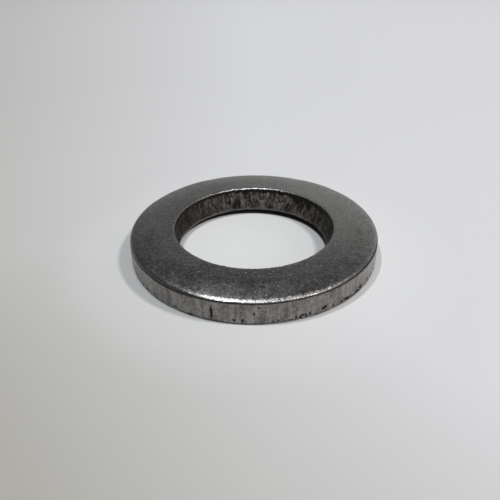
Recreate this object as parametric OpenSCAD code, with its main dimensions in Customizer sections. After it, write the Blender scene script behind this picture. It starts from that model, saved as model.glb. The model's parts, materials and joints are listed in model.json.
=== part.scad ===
// Flat washer: one ring punched from steel plate, with the marks its two punches leave.
// It lies on its lower face. Z is its axis, and the origin is the centre of that face.

/* [Ring] */
// Outside diameter, at the upright part of the side
outside_d = 34; // [34:0.5:44]
// Hole diameter at its narrowest, the short straight part above the lower edge
hole_d = 21; // [15:0.5:21]
// Hole diameter at its mouth in the upper face
mouth_d = 22; // [21.4:0.1:22.4]
// Thickness of the plate
thickness = 4; // [3.5:0.25:6]

/* [Outer edge] */
// Width of the upper face that the blanking cut drew down
outer_roll_w = 3.4; // [1.5:0.1:3.7]
// Depth it is drawn down by
outer_roll_h = 1.05; // [0.75:0.05:1.4]
// Radius of the corner between the drawn-down band and the side
outer_corner_r = 0.4; // [0.2:0.05:0.6]
// Height of the torn band at the foot of the side
outer_tear_h = 0.45; // [0.2:0.05:0.8]
// How far the torn band leans in
outer_tear_w = 0.1; // [0.05:0.01:0.2]

/* [Hole edge] */
// Width of the lower face that the piercing punch drew in
hole_roll_w = 2; // [1:0.1:2.2]
// Depth it is drawn in by
hole_roll_h = 0.85; // [0.6:0.05:1]
// Radius of the corner between the drawn-in band and the hole's wall
hole_corner_r = 0.4; // [0.2:0.05:0.5]
// Height of the straight part, above the drawn-in edge
hole_land_h = 0.75; // [0.4:0.05:1]
// Height of the torn band at the top of the hole
hole_tear_h = 0.65; // [0.4:0.05:1]
// How far the torn band opens out
hole_tear_w = 0.06; // [0.02:0.01:0.15]

/* [Finish] */
// Flat steps in each of the two arcs of a rolled edge
roll_steps = 8; // [4:1:16]

/* [Hidden] */
$fn = 180;
outside_r = outside_d / 2;
hole_r = hole_d / 2;
mouth_r = mouth_d / 2;

// Radius of the long arc that starts level, falls by h over w, and ends in an upright corner arc
function long_radius(w, h, corner) =
    (pow(w - corner, 2) + pow(h, 2) - pow(corner, 2)) / (2 * (h - corner));

// Slope at which the long arc hands over to the corner arc
function handover_slope(w, h, corner) =
    asin((w - corner) / (long_radius(w, h, corner) - corner));

// The outline of a rolled edge, from upright to level: the corner arc, then the long arc.
// Its points are distances in from the cut side and from the drawn face.
function rolled_edge(w, h, corner) =
    let (long = long_radius(w, h, corner), slope = handover_slope(w, h, corner))
    concat(
        [for (i = [0:roll_steps]) let (a = 90 - (90 - slope) * i / roll_steps)
            [corner * (1 - sin(a)), h - corner * cos(a)]],
        [for (i = [1:roll_steps]) let (a = slope * (1 - i / roll_steps))
            [w - long * sin(a), long * (1 - cos(a))]]
    );

// The blanking cut went down through the plate: rolled at the top, torn at the foot
outer_side = concat(
    [[outside_r - outer_tear_w, 0], [outside_r, outer_tear_h]],
    [for (p = rolled_edge(outer_roll_w, outer_roll_h, outer_corner_r)) [outside_r - p[0], thickness - p[1]]]
);

// The piercing cut came from the other face: rolled at the foot, straight where the punch sheared
// the steel, and from there broken open to the torn mouth
hole_side = concat(
    [[mouth_r, thickness], [mouth_r - hole_tear_w, thickness - hole_tear_h], [hole_r, hole_roll_h + hole_land_h]],
    [for (p = rolled_edge(hole_roll_w, hole_roll_h, hole_corner_r)) [hole_r + p[0], p[1]]]
);

module washer() {
    color([0.34, 0.33, 0.32])
        rotate_extrude()
            polygon(concat(outer_side, hole_side));
}

washer();
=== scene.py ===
import json
import math
import random
import bpy
import numpy as np
from mathutils import Matrix, Vector, noise


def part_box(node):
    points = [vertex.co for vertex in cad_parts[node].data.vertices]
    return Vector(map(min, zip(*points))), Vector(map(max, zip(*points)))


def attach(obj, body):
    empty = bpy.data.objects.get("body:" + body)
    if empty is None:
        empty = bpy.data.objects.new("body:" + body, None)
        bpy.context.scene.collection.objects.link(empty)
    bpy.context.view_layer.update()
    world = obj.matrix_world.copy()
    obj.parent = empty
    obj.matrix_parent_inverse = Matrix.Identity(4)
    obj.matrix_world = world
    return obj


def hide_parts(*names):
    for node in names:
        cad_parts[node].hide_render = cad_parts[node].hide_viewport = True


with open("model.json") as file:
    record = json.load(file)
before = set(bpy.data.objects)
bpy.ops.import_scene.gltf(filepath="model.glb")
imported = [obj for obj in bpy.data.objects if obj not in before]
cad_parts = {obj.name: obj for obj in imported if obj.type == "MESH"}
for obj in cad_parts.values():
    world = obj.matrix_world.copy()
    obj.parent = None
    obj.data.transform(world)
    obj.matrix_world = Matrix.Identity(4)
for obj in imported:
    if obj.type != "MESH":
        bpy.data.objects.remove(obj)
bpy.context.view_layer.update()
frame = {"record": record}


# ---------------------------------------------------------------------------
# The ring: a plain round washer punched from steel plate, dark and lightly oiled. The outside
# was cut from above, so its upper edge is drawn over and the foot of the side is torn. The
# hole was cut from below and is the reverse.

MM = 0.001
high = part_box("washer")[1]
outside_r = high.x
thickness = high.z
bore = next(m for m in frame["record"]["mounts"] if m["name"] == "bore")
hole_r = bore["dims"]["r_mm"] * MM
mouth_r = hole_r + 0.5 * MM

STEPS_ROUND = 880
turn = np.arange(STEPS_ROUND)[:, None] * math.tau / STEPS_ROUND
full = np.ones_like(turn)


def near(angle_deg, half_width_deg):
    """1 at an angle round the ring, falling smoothly to 0 on both sides.
    Angles run from +X towards +Y, so that the front is at -90 and the back at 90."""
    away = (turn - math.radians(angle_deg) + math.pi) % math.tau - math.pi
    return np.exp(-((away / math.radians(half_width_deg)) ** 2))


def around(seed, waves, octaves=3):
    """Uneven values round the ring, about -1 to 1, that join up after a full turn."""
    values = [
        noise.fractal(Vector((math.cos(a) * waves, math.sin(a) * waves, seed)), 1.0, 2.0, octaves)
        for a in turn[:, 0]
    ]
    return np.array(values)[:, None]


def smooth(start, end, x):
    """0 below start, 1 above end, and an even S between them."""
    t = np.clip((x - start) / (end - start), 0.0, 1.0)
    return t * t * (3.0 - 2.0 * t)


# Sizes of the edge forms, nearly all uneven round the ring as a real cut is.
sharp_front = np.clip(1.35 * near(-84.0, 42.0), 0.0, 1.0)
roll_depth = (1.02 + 0.05 * around(3.0, 2.5)) * MM
roll_width = (3.35 + 0.12 * around(5.0, 2.0)) * MM
corner_r = (0.60 - 0.38 * sharp_front + 0.03 * around(8.0, 9.0)) * MM
foot_h = (0.42 + 0.20 * around(11.0, 9.0, 6)) * MM
foot_lean = 0.10 * MM
lip_line = hole_r - (0.18 + 0.16 * np.cos(turn - math.radians(38.0))) * MM
draw_depth = (0.85 + 0.06 * around(14.0, 2.0)) * MM
draw_width = 2.0 * MM
draw_corner_r = 0.4 * MM
land_h = (0.65 + 0.30 * around(16.0, 6.0, 4)) * MM
tear_h = (0.62 + 0.30 * near(35.0, 28.0) + 0.36 * around(17.0, 12.0, 6)) * MM
tear_open = 0.06 * MM
lip_r = (0.17 + 0.02 * near(85.0, 50.0) + 0.09 * around(20.0, 30.0, 5)) * MM
mouth = mouth_r + (0.03 * np.cos(turn) - 0.07 + 0.12 * near(85.0, 60.0) * around(22.0, 30.0, 5)) * MM


def rolled_edge(width, depth, corner, steepest, share):
    """A rolled edge, as distances in from the cut side and from the drawn face.
    Share runs from 0, where the side is upright, round the corner arc, and on to 1, where
    the drawn band has come level. The band is the sum of a gentle curve and a sharp one,
    which brings it to its steepest slope, in degrees, where it meets the corner."""
    arc_share, spacing = 0.4, 0.7
    gentle, sharp = 1.3, 16.0
    slope = math.radians(steepest)
    tilt = math.pi / 2 - (math.pi / 2 - slope) * share / arc_share
    band_width = width - corner * (1.0 - math.sin(slope))
    band_depth = depth - corner * math.cos(slope)
    sharp_depth = (math.tan(slope) * band_width - gentle * band_depth) / (sharp - gentle)
    along = np.clip((1.0 - share) / (1.0 - arc_share), 0.0, 1.0) ** spacing
    band = (band_depth - sharp_depth) * along**gentle + sharp_depth * along**sharp
    inward = np.where(share < arc_share, corner * (1.0 - np.sin(tilt)), width - band_width * along)
    away = np.where(share < arc_share, depth - corner * np.cos(tilt), band)
    return inward, away


# The section in bands, each with its number of stations: up the side, over the face, down the
# hole, and back along the seat.
STATIONS = {
    "foot": 5,
    "side": 30,
    "roll": 28,
    "face": 6,
    "lip": 4,
    "tear": 7,
    "broken": 10,
    "land": 5,
    "draw": 12,
    "seat": 4,
}


def steps(band):
    """Even steps from 0 up to, but not including, 1, one for each station of a band."""
    return np.arange(STATIONS[band])[None, :] / STATIONS[band]


bands = {}
s = steps("foot")
bands["foot"] = (outside_r - foot_lean * (1.0 - s), s * foot_h)
s = steps("side")
bands["side"] = (outside_r + 0.0 * s, foot_h + (thickness - roll_depth - foot_h) * s)
s = steps("roll")
inward, away = rolled_edge(roll_width, roll_depth, corner_r, 31.0, s)
bands["roll"] = (outside_r - inward, thickness - away)
s = steps("face")
face_from = outside_r - roll_width
lip_from = mouth + lip_r
bands["face"] = (face_from + (lip_from - face_from) * s, thickness + 0.0 * s)
s = steps("lip")
bend_over = s * math.pi / 2
bands["lip"] = (lip_from - lip_r * np.sin(bend_over), thickness - lip_r * (1.0 - np.cos(bend_over)))
s = steps("tear")
bands["tear"] = (mouth - tear_open * s, thickness - lip_r - (tear_h - lip_r) * s)
s = steps("broken")
broken_from, land_top = thickness - tear_h, draw_depth + land_h
bands["broken"] = (
    mouth - tear_open + (lip_line - mouth + tear_open) * s,
    broken_from + (land_top - broken_from) * s,
)
s = steps("land")
bands["land"] = (lip_line + 0.0 * s, land_top - land_h * s)
s = steps("draw")
inward, away = rolled_edge(draw_width, draw_depth, draw_corner_r, 24.0, s)
bands["draw"] = (lip_line + inward, away)
s = steps("seat")
seat_from, seat_to = lip_line + draw_width, outside_r - foot_lean
bands["seat"] = (seat_from + (seat_to - seat_from) * s, 0.0 * s)

radius = np.concatenate([r * full for r, z in bands.values()], axis=1)
height = np.concatenate([z * full for r, z in bands.values()], axis=1)
zone = np.repeat(list(STATIONS), list(STATIONS.values()))
columns = radius.shape[1]


def on(*names):
    """1 in the named bands and 0 elsewhere, eased over the neighbouring stations."""
    hard = np.isin(zone, names).astype(float)
    return (0.25 * np.roll(hard, 1) + 0.5 * hard + 0.25 * np.roll(hard, -1))[None, :]


def grain(seed, across, upright, octaves=2):
    """Uneven values over the whole skin, with features of the given sizes across and upright."""
    shift = Vector((seed, seed * 0.37, -seed * 0.61))
    x, y, z = radius * np.cos(turn) / across, radius * np.sin(turn) / across, height / upright
    flat = [
        noise.fractal(Vector(p) + shift, 1.0, 2.0, octaves)
        for p in zip(x.ravel().tolist(), y.ravel().tolist(), z.ravel().tolist())
    ]
    return np.array(flat).reshape(radius.shape)


# Outward direction of the skin at every point, from its neighbours along the section.
along_r = np.roll(radius, -1, axis=1) - np.roll(radius, 1, axis=1)
along_z = np.roll(height, -1, axis=1) - np.roll(height, 1, axis=1)
length = np.hypot(along_r, along_z)
out_r, out_z = along_z / length, -along_r / length

# How far the skin stands in or out, in mm: waviness of the plate, drag marks of the cuts, torn
# grain. The pit shade and grime is the dark in the pits and patches, from 0 to 1: painted shade
# of the hollows, with dark deposit; and the ragged shifts, in mm, roughen the outlines of the pits.
relief = 0.004 * grain(31.0, 1.3 * MM, 1.3 * MM) * on("face", "seat")
relief += 0.005 * grain(32.0, 0.45 * MM, 0.45 * MM, 3) * on("roll", "draw")
relief += 0.006 * grain(33.0, 0.30 * MM, 4.0 * MM, 3) * on("side")
relief += 0.050 * grain(34.0, 0.32 * MM, 0.4 * MM, 4) * on("tear")
relief += 0.030 * grain(37.0, 0.30 * MM, 0.4 * MM, 4) * on("broken", "land")
relief += 0.020 * grain(35.0, 0.40 * MM, 0.3 * MM, 4) * on("foot")
relief += 0.060 * near(85.0, 60.0) * grain(36.0, 0.25 * MM, 0.25 * MM, 3) * on("lip")
pit_shade_and_grime = np.zeros_like(radius)
ragged_across = 0.15 * grain(38.0, 0.25 * MM, 0.25 * MM)
ragged_up = 0.14 * grain(39.0, 0.25 * MM, 0.25 * MM)


def pit(angle_deg, z_mm, half_w_mm, half_h_mm, depth_mm, at_r, wall):
    """A pit or crack in an upright wall, with the dark that fills and rims it: painted shade of the
    hollow and dark deposit. The wall is 1 on the bands that the pit may lie in. Its floor is flat and
    its rim steep."""
    global relief, pit_shade_and_grime
    across = ((turn - math.radians(angle_deg) + math.pi) % math.tau - math.pi) * at_r / MM
    across = across + ragged_across
    up = height / MM - z_mm + ragged_up
    hollow = np.exp(-((across / half_w_mm) ** 2 + (up / half_h_mm) ** 2) ** 1.5) * wall
    relief = relief - depth_mm * hollow
    pit_shade_and_grime = np.maximum(pit_shade_and_grime, np.clip(2.0 * hollow, 0.0, 1.0))


side_wall = on("foot", "side")
hole_wall = on("tear", "broken", "land")

# Cracks and pits low in the side, each with its angle in degrees, then its height, half width,
# half height and depth in mm.
for mark in (
    (-107.5, 1.25, 0.12, 0.85, 0.12),
    (-94.7, 0.50, 0.11, 0.32, 0.10),
    (-90.1, 1.60, 0.10, 0.20, 0.05),
    (-98.0, 0.60, 0.22, 0.14, 0.12),
    (-88.2, 2.45, 0.09, 0.20, 0.04),
    (-82.5, 0.35, 0.14, 0.10, 0.08),
    (-80.5, 0.50, 0.12, 0.13, 0.08),
    (-75.0, 0.32, 0.22, 0.09, 0.08),
    (-73.0, 0.55, 0.11, 0.30, 0.12),
    (-69.8, 0.72, 0.24, 0.08, 0.10),
    (-70.9, 0.45, 0.11, 0.25, 0.10),
    (-68.6, 0.45, 0.11, 0.25, 0.10),
    (-66.8, 0.62, 0.12, 0.24, 0.10),
    (-60.5, 0.72, 0.26, 0.17, 0.16),
    (-59.4, 0.95, 0.14, 0.12, 0.10),
    (-55.5, 0.62, 0.17, 0.13, 0.10),
    (-49.5, 0.68, 0.30, 0.08, 0.10),
    (-48.2, 0.50, 0.12, 0.18, 0.10),
    (-50.8, 0.48, 0.12, 0.14, 0.10),
    (-40.5, 0.45, 0.30, 0.22, 0.14),
    (-37.0, 0.70, 0.16, 0.30, 0.12),
    (-38.5, 0.85, 0.30, 0.10, 0.10),
    (-31.0, 0.75, 0.36, 0.09, 0.08),
    (-26.0, 0.62, 0.30, 0.10, 0.08),
    (-20.5, 0.55, 0.40, 0.11, 0.08),
    (-15.0, 0.72, 0.45, 0.09, 0.07),
    (-10.5, 0.84, 0.50, 0.08, 0.06),
    (-6.0, 0.95, 0.50, 0.08, 0.06),
    (-1.0, 1.02, 0.45, 0.07, 0.05),
    (-143.0, 0.35, 0.35, 0.14, 0.12),
    (-146.5, 0.55, 0.16, 0.20, 0.10),
):
    pit(*mark, outside_r, side_wall)
# Dark patches in the back of the hole, given in the same way.
for patch in (
    (102.5, 1.90, 0.30, 0.80, 0.02),
    (106.5, 1.55, 0.40, 0.50, 0.02),
    (110.0, 2.20, 0.20, 0.60, 0.02),
    (97.0, 3.30, 0.60, 0.30, 0.03),
    (75.0, 1.25, 0.45, 0.25, 0.02),
    (52.0, 3.00, 0.90, 0.45, 0.03),
    (40.0, 2.90, 0.50, 0.60, 0.03),
):
    pit(*patch, hole_r, 0.45 * hole_wall)
# Small chips all round the foot, but for the stretch at the front that is placed above, then
# more of them gathered front right, and last, upright pits in the hole.
chance = random.Random(7)
SPREAD_CHIPS = 36
GATHERED_CHIPS = 28
HOLE_PITS = 60
for i in range(SPREAD_CHIPS + GATHERED_CHIPS):
    pit(
        chance.uniform(-64.0, 250.0) if i < SPREAD_CHIPS else chance.gauss(-28.0, 8.0),
        chance.uniform(0.15, 0.60),
        chance.uniform(0.10, 0.24),
        chance.uniform(0.07, 0.15),
        chance.uniform(0.04, 0.10),
        outside_r,
        side_wall,
    )
for i in range(HOLE_PITS):
    pit(
        chance.uniform(0.0, 360.0),
        chance.uniform(1.2, 3.7),
        chance.uniform(0.05, 0.12),
        chance.uniform(0.15, 0.60),
        chance.uniform(0.02, 0.05),
        hole_r,
        hole_wall,
    )

# Nothing reaches below the plane of the seat, and no grain stands high on the upper face.
HIGHEST_GRAIN = 0.02 * MM
radius = radius + relief * MM * out_r
height = np.clip(height + relief * MM * out_z, 0.0, thickness + HIGHEST_GRAIN)

points = np.stack([radius * np.cos(turn), radius * np.sin(turn), height], axis=-1)
row = np.arange(STEPS_ROUND)[:, None] * columns
next_row = np.roll(row, -1, axis=0)
station = np.arange(columns)[None, :]
next_station = (station + 1) % columns
faces = np.stack(
    [next_row + station, next_row + next_station, row + next_station, row + station],
    axis=-1,
).reshape(-1, 4)
mesh = bpy.data.meshes.new("ring")
mesh.from_pydata(points.reshape(-1, 3).tolist(), [], faces.tolist())
mesh.polygons.foreach_set("use_smooth", [True] * len(mesh.polygons))


def paint(name, values):
    """Stores one number a point on the mesh, for the finish to read."""
    layer = mesh.attributes.new(name, "FLOAT", "POINT")
    layer.data.foreach_set("value", np.broadcast_to(values, radius.shape).ravel().astype(np.float32))


# Where each station lies across the rolled edge, and the painted dark seam, standing in for a
# dark reflection, where that edge meets the side.
share = (np.arange(columns) - np.argmax(zone == "roll")) / STATIONS["roll"]
seam_half = 0.11 + 0.14 * near(-128.0, 18.0) + 0.14 * near(-28.0, 20.0) + 0.04 * around(41.0, 14.0)
above_seam = (height - thickness + roll_depth) / MM + 0.5 * seam_half - 0.13 - 0.17 * near(-25.0, 22.0)
seam = np.exp(-((above_seam / seam_half) ** 2)) * on("roll", "side")
paint("torn", on("tear"))
paint("foot", on("foot"))
paint("cut", on("side", "foot"))
# Painted reflection: a light upright band on the side at the right front, mirroring the window.
paint("window_reflection", near(-24.0, 16.0) * on("side"))
paint("in_bore", hole_wall + 0.3 * on("lip"))
paint("land", on("land"))
paint("rolled", on("roll") * (1.0 - smooth(0.45, 1.0, share)[None, :]))
# Painted highlight: a band on the front of the rolled edge, where the lamp's highlight falls.
paint("highlight_band", np.exp(-(((share - 0.46) / 0.10) ** 2))[None, :] * on("roll") * near(-86.0, 42.0))
# Painted shade: the foot of the hole wall and the draw, dark and matt, for the shadow under the lip.
gap_shade_h = (0.76 + 0.08 * near(25.0, 50.0) - 0.16 * near(170.0, 50.0) + 0.06 * around(40.0, 12.0)) * MM
painted_gap_shade = (1.0 - smooth(gap_shade_h - 0.05 * MM, gap_shade_h + 0.05 * MM, height)) * on("broken", "land", "draw")
painted_gap_shade *= 1.0 - smooth(0.4 * MM, 0.9 * MM, radius - lip_line)
paint("under_lip", painted_gap_shade)
# Painted glints: the lip of the hole at the back, where the lamps glint on it.
paint("lip_glint_zone", on("lip") * near(94.0, 54.0))
# Painted glints: where bright specks are painted, over the front of the face and rolled edge.
paint("glint_speck_zone", near(-88.0, 52.0) * on("face", "roll"))
# Painted reflection lightens the back of the face; painted shade darkens its front and roll there.
paint("painted_light_back", near(50.0, 65.0) * on("face", "lip"))
paint("painted_shade_front", near(-85.0, 60.0) * on("face", "roll"))
# Painted light: 1 on the side of the hole wall that the lamps light.
paint("lit_wall", near(75.0, 62.0))
# A faint dark strip up the side and foot at the right front.
side_dark_strip = 0.3 * near(-1.0, 9.0) * on("side", "foot")
# Painted shade with dark deposit: the dark in the pits, the painted dark seam and the dark strip.
paint("shade_and_residue", np.maximum(np.maximum(pit_shade_and_grime, 0.66 * seam), side_dark_strip))
mesh.update()

ring = bpy.data.objects.new("ring", mesh)
bpy.context.scene.collection.objects.link(ring)


class Wire:
    """One number, colour or direction in a finish. Sums on it add Math nodes."""

    def __init__(self, tree, socket=None):
        self.tree = tree
        self.socket = socket

    def node(self, kind, settings=None, sockets=None, out=0):
        """Adds a node: its settings first, then the values or links of its sockets."""
        made = self.tree.nodes.new(kind)
        for name, value in (settings or {}).items():
            setattr(made, name, value)
        for name, value in (sockets or {}).items():
            if isinstance(value, Wire):
                self.tree.links.new(value.socket, made.inputs[name])
            else:
                made.inputs[name].default_value = value
        return Wire(self.tree, made.outputs[out])

    def math(self, operation, *values):
        """A Math node on numbers or other wires."""
        return self.node("ShaderNodeMath", {"operation": operation}, dict(enumerate(values)))

    def __add__(self, other):
        return self.math("ADD", self, other)

    def __sub__(self, other):
        return self.math("SUBTRACT", self, other)

    def __rsub__(self, other):
        return self.math("SUBTRACT", other, self)

    def __mul__(self, other):
        return self.math("MULTIPLY", self, other)

    __radd__ = __add__
    __rmul__ = __mul__

    def axis(self, index):
        """One of the three numbers of a place or direction."""
        return self.node("ShaderNodeSeparateXYZ", None, {0: self}, index)

    def ramp(self, start, end):
        """0 at start, 1 at end, straight between them and level outside."""
        return self.node("ShaderNodeMapRange", None, {0: self, 1: start, 2: end})

    def between(self, start, end):
        """0 below start, 1 above end, and an even S between them."""
        return self.node(
            "ShaderNodeMapRange",
            {"interpolation_type": "SMOOTHSTEP"},
            {0: self, 1: start, 2: end},
        )

    def colour_to(self, here, there):
        """This number as a blend of two colours: here at 0, there at 1."""
        return self.node("ShaderNodeMix", {"data_type": "RGBA"}, {0: self, 6: here, 7: there}, 2)


def grey(level, warm=0.0):
    """A near grey; warm above 0 leans to brown and below 0 to blue."""
    return (level * (1.0 + warm), level, level * (1.0 - warm), 1.0)


steel = bpy.data.materials.new("dark_steel")
steel.use_nodes = True
skin = Wire(steel.node_tree)
surface = steel.node_tree.nodes["Principled BSDF"]
where = skin.node("ShaderNodeTexCoord", out=3)


def spots(size_mm, stretch=(1.0, 1.0, 1.0), detail=3.0, rough=0.55):
    """Soft random spots of about this size, drawn out along an axis where stretch is under 1."""
    drawn = skin.node("ShaderNodeVectorMath", {"operation": "MULTIPLY"}, {0: where, 1: stretch})
    return skin.node(
        "ShaderNodeTexNoise",
        None,
        {"Vector": drawn, "Scale": 1.0 / (size_mm * MM), "Detail": detail, "Roughness": rough},
    )


def painted(name):
    """One of the numbers painted on the mesh."""
    return skin.node("ShaderNodeAttribute", {"attribute_name": name}, out=2)


# Where each kind of surface is, and where light, shade, glints and highlights are painted.
torn, foot, cut, in_bore = painted("torn"), painted("foot"), painted("cut"), painted("in_bore")
land, rolled, lip_glint_zone, shade_and_residue = painted("land"), painted("rolled"), painted("lip_glint_zone"), painted("shade_and_residue")
highlight_band, under_lip, lit_wall = painted("highlight_band"), painted("under_lip"), painted("lit_wall")

# Random spots, from broad blotches to the finest glints, and streaks drawn out upright.
blotches = spots(2.6)
mottle = spots(0.45, detail=4.0, rough=0.65)
fleck = spots(0.17, detail=2.0)
glint = spots(0.11, detail=1.0)
# Painted glints: bright specks over the front of the face and the rolled edge.
painted_glint_specks = spots(0.28, detail=0.0).between(0.765, 0.81) * painted("glint_speck_zone")
drag = spots(0.30, (1.0, 1.0, 0.10), 3.0, 0.65)
broad_drag = spots(1.4, (1.0, 1.0, 0.35))
crust = spots(0.34, (1.0, 1.0, 0.60), 4.0, 0.7)

# The four kinds of surface: the plate's own skin, with painted reflection on its back, painted
# shade on its front and painted glints; the side that the punch sheared, with a painted reflection
# of the window; the oxide in the hole, painted lighter where the lamps light it; and torn steel.
plate = (0.15 * blotches + 0.45 * mottle + 0.40 * fleck).between(0.40, 0.60)
plate = plate.colour_to(grey(0.104, 0.030), grey(0.228, 0.01))
# Painted reflection lightens the back of the face, and painted shade darkens the front.
plate = (0.42 * painted("painted_light_back")).colour_to(plate, grey(0.36, 0.01))
plate = (0.24 * painted("painted_shade_front")).colour_to(plate, grey(0.02))
plate = painted_glint_specks.colour_to(plate, grey(0.85))
sheared = (0.30 * drag + 0.30 * broad_drag + 0.4 * mottle).between(0.38, 0.60)
sheared = sheared.colour_to(grey(0.120, 0.065), grey(0.305, 0.04))
# Painted reflection of the window: the side is lighter at the right front.
sheared = (0.3 * painted("window_reflection")).colour_to(sheared, grey(0.50, 0.03))
oxide = (0.65 * crust + 0.35 * broad_drag).between(0.38, 0.66)
# Painted light and shade: the oxide is lighter where the lamps light the wall, darker elsewhere.
oxide = (oxide * (0.12 + 0.88 * lit_wall)).colour_to(grey(0.020, 0.14), grey(0.290, 0.10))
fracture = fleck.between(0.40, 0.75).colour_to(grey(0.012, 0.10), grey(0.075, 0.06))

# They are laid over one another, with painted shade on the land low in the hole, painted glints on
# the lip and a painted highlight on the rolled corner, and last of all the painted shade and dark
# deposit.
colour = cut.colour_to(plate, sheared)
colour = in_bore.between(0.2, 0.9).colour_to(colour, oxide)
# Painted shade: the land low in the hole is darkened.
colour = (land * 0.35).colour_to(colour, grey(0.030, 0.05))
ragged = (torn * (0.55 + 0.9 * mottle) + foot * (0.05 + 0.6 * mottle)).between(0.35, 0.65)
colour = ragged.colour_to(colour, fracture)
# Painted glints: broken bright steel along the lip at the back of the hole.
painted_lip_glint = (lip_glint_zone * (0.3 * mottle + 0.7 * fleck)).between(0.40, 0.48)
colour = painted_lip_glint.colour_to(colour, grey(0.95))
# Painted highlight: a brighter, smoother band on the rolled edge where the lamp's highlight falls.
painted_highlight = (highlight_band + 1.1 * (mottle - 0.5) + 0.9 * (fleck - 0.5)).between(0.55, 0.85)
colour = (0.9 * painted_highlight).colour_to(colour, grey(0.42))
# Painted shade with dark deposit: under the lip, on the hole wall away from the lamps, pits and seam.
shade_and_dirt = (shade_and_residue + under_lip + 0.42 * in_bore * (1.0 - lit_wall)).between(0.1, 0.8)
colour = shade_and_dirt.colour_to(colour, grey(0.018, 0.15))

# Satin all over: duller in the hole and under the painted shade and deposit, smoother where
# the edge is rolled.
rough = 0.36 + 0.16 * (mottle - 0.5) + 0.10 * (blotches - 0.5)
rough = rough - 0.05 * rolled - 0.03 * painted_highlight + 0.04 * cut + 0.16 * in_bore + 0.15 * ragged
rough = rough + 0.3 * shade_and_dirt - 0.02 * painted_lip_glint - 0.10 * painted_glint_specks

# Fine unevenness, stronger where the edge is rolled and in the hole.
BUMP_DEPTH = 0.020 * MM
bumps = (0.5 + 0.5 * rolled) * mottle + (0.6 + 0.3 * rolled) * fleck + 0.5 * glint
bumps = bumps + 0.3 * cut * drag + 1.2 * in_bore * crust + 0.8 * ragged * fleck
normal = skin.node("ShaderNodeBump", None, {"Strength": 1.0, "Distance": BUMP_DEPTH, "Height": bumps})

# The painted shade and the deposit aren't metal and are dead matt, so they mirror nothing.
steel.node_tree.links.new(colour.socket, surface.inputs["Base Color"])
steel.node_tree.links.new(rough.socket, surface.inputs["Roughness"])
steel.node_tree.links.new((1.0 - shade_and_dirt).socket, surface.inputs["Metallic"])
steel.node_tree.links.new(normal.socket, surface.inputs["Normal"])
surface.inputs["Specular IOR Level"].default_value = 0.0
mesh.materials.append(steel)
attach(ring, "root")
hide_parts("washer")


# ---------------------------------------------------------------------------
# The floor: a large sheet of pale matt board that the ring lies on. It is set a hair below the
# ring's seat, so that the two never share a plane. Its tone carries painted shading, darker to the
# left and in front, painted light in the middle and some way behind, and a painted shadow where
# the ring covers it.

BOARD_SIZE = 3.0
BOARD_DROP = 0.01 * MM
# Tones: painted shading left and front, the open board, a painted pool of light, a painted shadow.
SHADED_TONE = (0.452, 0.444, 0.418, 1.0)
OPEN_TONE = (0.733, 0.739, 0.770, 1.0)
MIDDLE_TONE = (0.805, 0.813, 0.828, 1.0)
SHADOW_TONE = (0.10, 0.10, 0.105, 1.0)
half = BOARD_SIZE / 2
corners = [(-half, -half, 0), (half, -half, 0), (half, half, 0), (-half, half, 0)]
board = bpy.data.meshes.new("floor")
board.from_pydata(corners, [], [(0, 1, 2, 3)])
floor = bpy.data.objects.new("floor", board)
floor.location.z = -BOARD_DROP
bpy.context.scene.collection.objects.link(floor)
pale = bpy.data.materials.new("pale_board")
pale.use_nodes = True
card = Wire(pale.node_tree)
spot = card.node("ShaderNodeTexCoord", out=3)
right = spot.axis(0)
ahead = spot.axis(1)
leftward = card.math("MINIMUM", right, 0.0)
beyond = card.math("MAXIMUM", ahead, 0.0)
before = card.math("MINIMUM", ahead, 0.0)
from_middle = card.node("ShaderNodeVectorMath", {"operation": "LENGTH"}, {0: spot}, 1)

# Painted shading: the tone falls to the left and to the front, fastest in the front left. Behind
# the ring it falls more slowly, and far away it doesn't fall at all.
drift = card.math("DIVIDE", right, 1.0 + 10.0 * beyond) + 0.9 * before
drift = (drift - 7.0 * leftward * before) * (1.0 - from_middle.between(0.28, 0.60))
shade = drift.ramp(-0.062, 0.0).colour_to(SHADED_TONE, OPEN_TONE)
# A painted pool of light on the floor round the middle of the ring.
middle = 1.0 - from_middle.between(10.0 * MM, 30.0 * MM)
shade = middle.colour_to(shade, MIDDLE_TONE)

# A painted shadow: it is dark from just under the lip of the hole out to just short of the ring's foot.
gap_centre = (-0.42 * MM, -0.10 * MM, 0.0)
off_gap = card.node("ShaderNodeVectorMath", {"operation": "DISTANCE"}, {0: spot, 1: gap_centre}, 1)
painted_shadow = off_gap.between(10.45 * MM, 10.70 * MM) * (1.0 - from_middle.between(16.0 * MM, 16.7 * MM))
shade = painted_shadow.colour_to(shade, SHADOW_TONE)

# Some way behind the ring it is painted a little lighter, in place of light.
lift = 1.0 + 0.12 * ahead.between(0.05, 0.20)
shade = card.node("ShaderNodeVectorMath", {"operation": "SCALE"}, {0: shade, 3: lift})
pale.node_tree.links.new(shade.socket, pale.node_tree.nodes["Principled BSDF"].inputs["Base Color"])
pale.node_tree.nodes["Principled BSDF"].inputs["Roughness"].default_value = 0.9
board.materials.append(pale)


# ---------------------------------------------------------------------------
# The light: two small lamps almost overhead, a wider and softer one high on the right, and a
# room with pale walls, darker on the left, and a dark ceiling.


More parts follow.
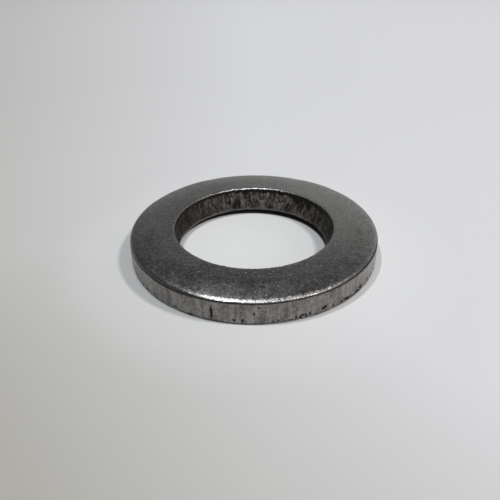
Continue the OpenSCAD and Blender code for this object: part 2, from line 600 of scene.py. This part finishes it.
def lamp(name, towards, distance, size, power, colour):
    """A round lamp that faces the ring from a direction, with its distance and size in metres."""
    light = bpy.data.lights.new(name, "AREA")
    light.shape = "DISK"
    light.size = size
    light.energy = power
    light.color = colour
    holder = bpy.data.objects.new(name, light)
    holder.location = Vector(towards).normalized() * distance
    holder.rotation_euler = Vector(towards).to_track_quat("Z", "Y").to_euler()
    bpy.context.scene.collection.objects.link(holder)


lamp("ceiling_lamp", (-0.24, 0.01, 1.0), 0.6, 0.03, 1.12, (0.95, 0.99, 0.99))
lamp("far_lamp", (0.03, 0.0, 1.0), 0.6, 0.025, 0.20, (0.95, 0.98, 1.0))
lamp("soft_window", (0.60, -0.10, 1.0), 0.5, 0.080, 0.86, (1.0, 0.955, 0.915))

LEFT_WALL = (0.29, 0.29, 0.285, 1.0)
RIGHT_WALL = (0.88, 0.875, 0.86, 1.0)
CEILING = (0.155, 0.155, 0.16, 1.0)
world = bpy.data.worlds.new("room")
world.use_nodes = True
room = Wire(world.node_tree)
direction = room.node("ShaderNodeTexCoord", out=0)
rightward = direction.axis(0)
rise = direction.axis(2)
walls = rightward.between(-0.7, 0.4).colour_to(LEFT_WALL, RIGHT_WALL)
room_light = (rise - 0.15 * rightward).between(0.39, 0.60).colour_to(walls, CEILING)
world.node_tree.links.new(room_light.socket, world.node_tree.nodes["Background"].inputs["Color"])
bpy.context.scene.world = world


# ---------------------------------------------------------------------------
# The camera: a normal lens, looking down across the ring from the front. It aims just left of
# the ring's middle and just in front of it, and leans by under a degree.

ELEVATION = math.radians(32.2)
LEAN = math.radians(-0.65)
DISTANCE = 5.0 * outside_r
camera = bpy.data.cameras.new("camera")
camera.lens = 43.1
camera.clip_start = 0.005
eye = bpy.data.objects.new("camera", camera)
eye.location = (0.0, -DISTANCE * math.cos(ELEVATION), DISTANCE * math.sin(ELEVATION))
aim = Vector((-0.54 * MM, -0.44 * MM, 0.0))
look = (aim - eye.location).to_track_quat("-Z", "Y").to_matrix()
eye.rotation_euler = (look @ Matrix.Rotation(LEAN, 3, "Z")).to_euler()
bpy.context.scene.collection.objects.link(eye)
bpy.context.scene.camera = eye
bpy.context.scene.view_settings.view_transform = "Standard"
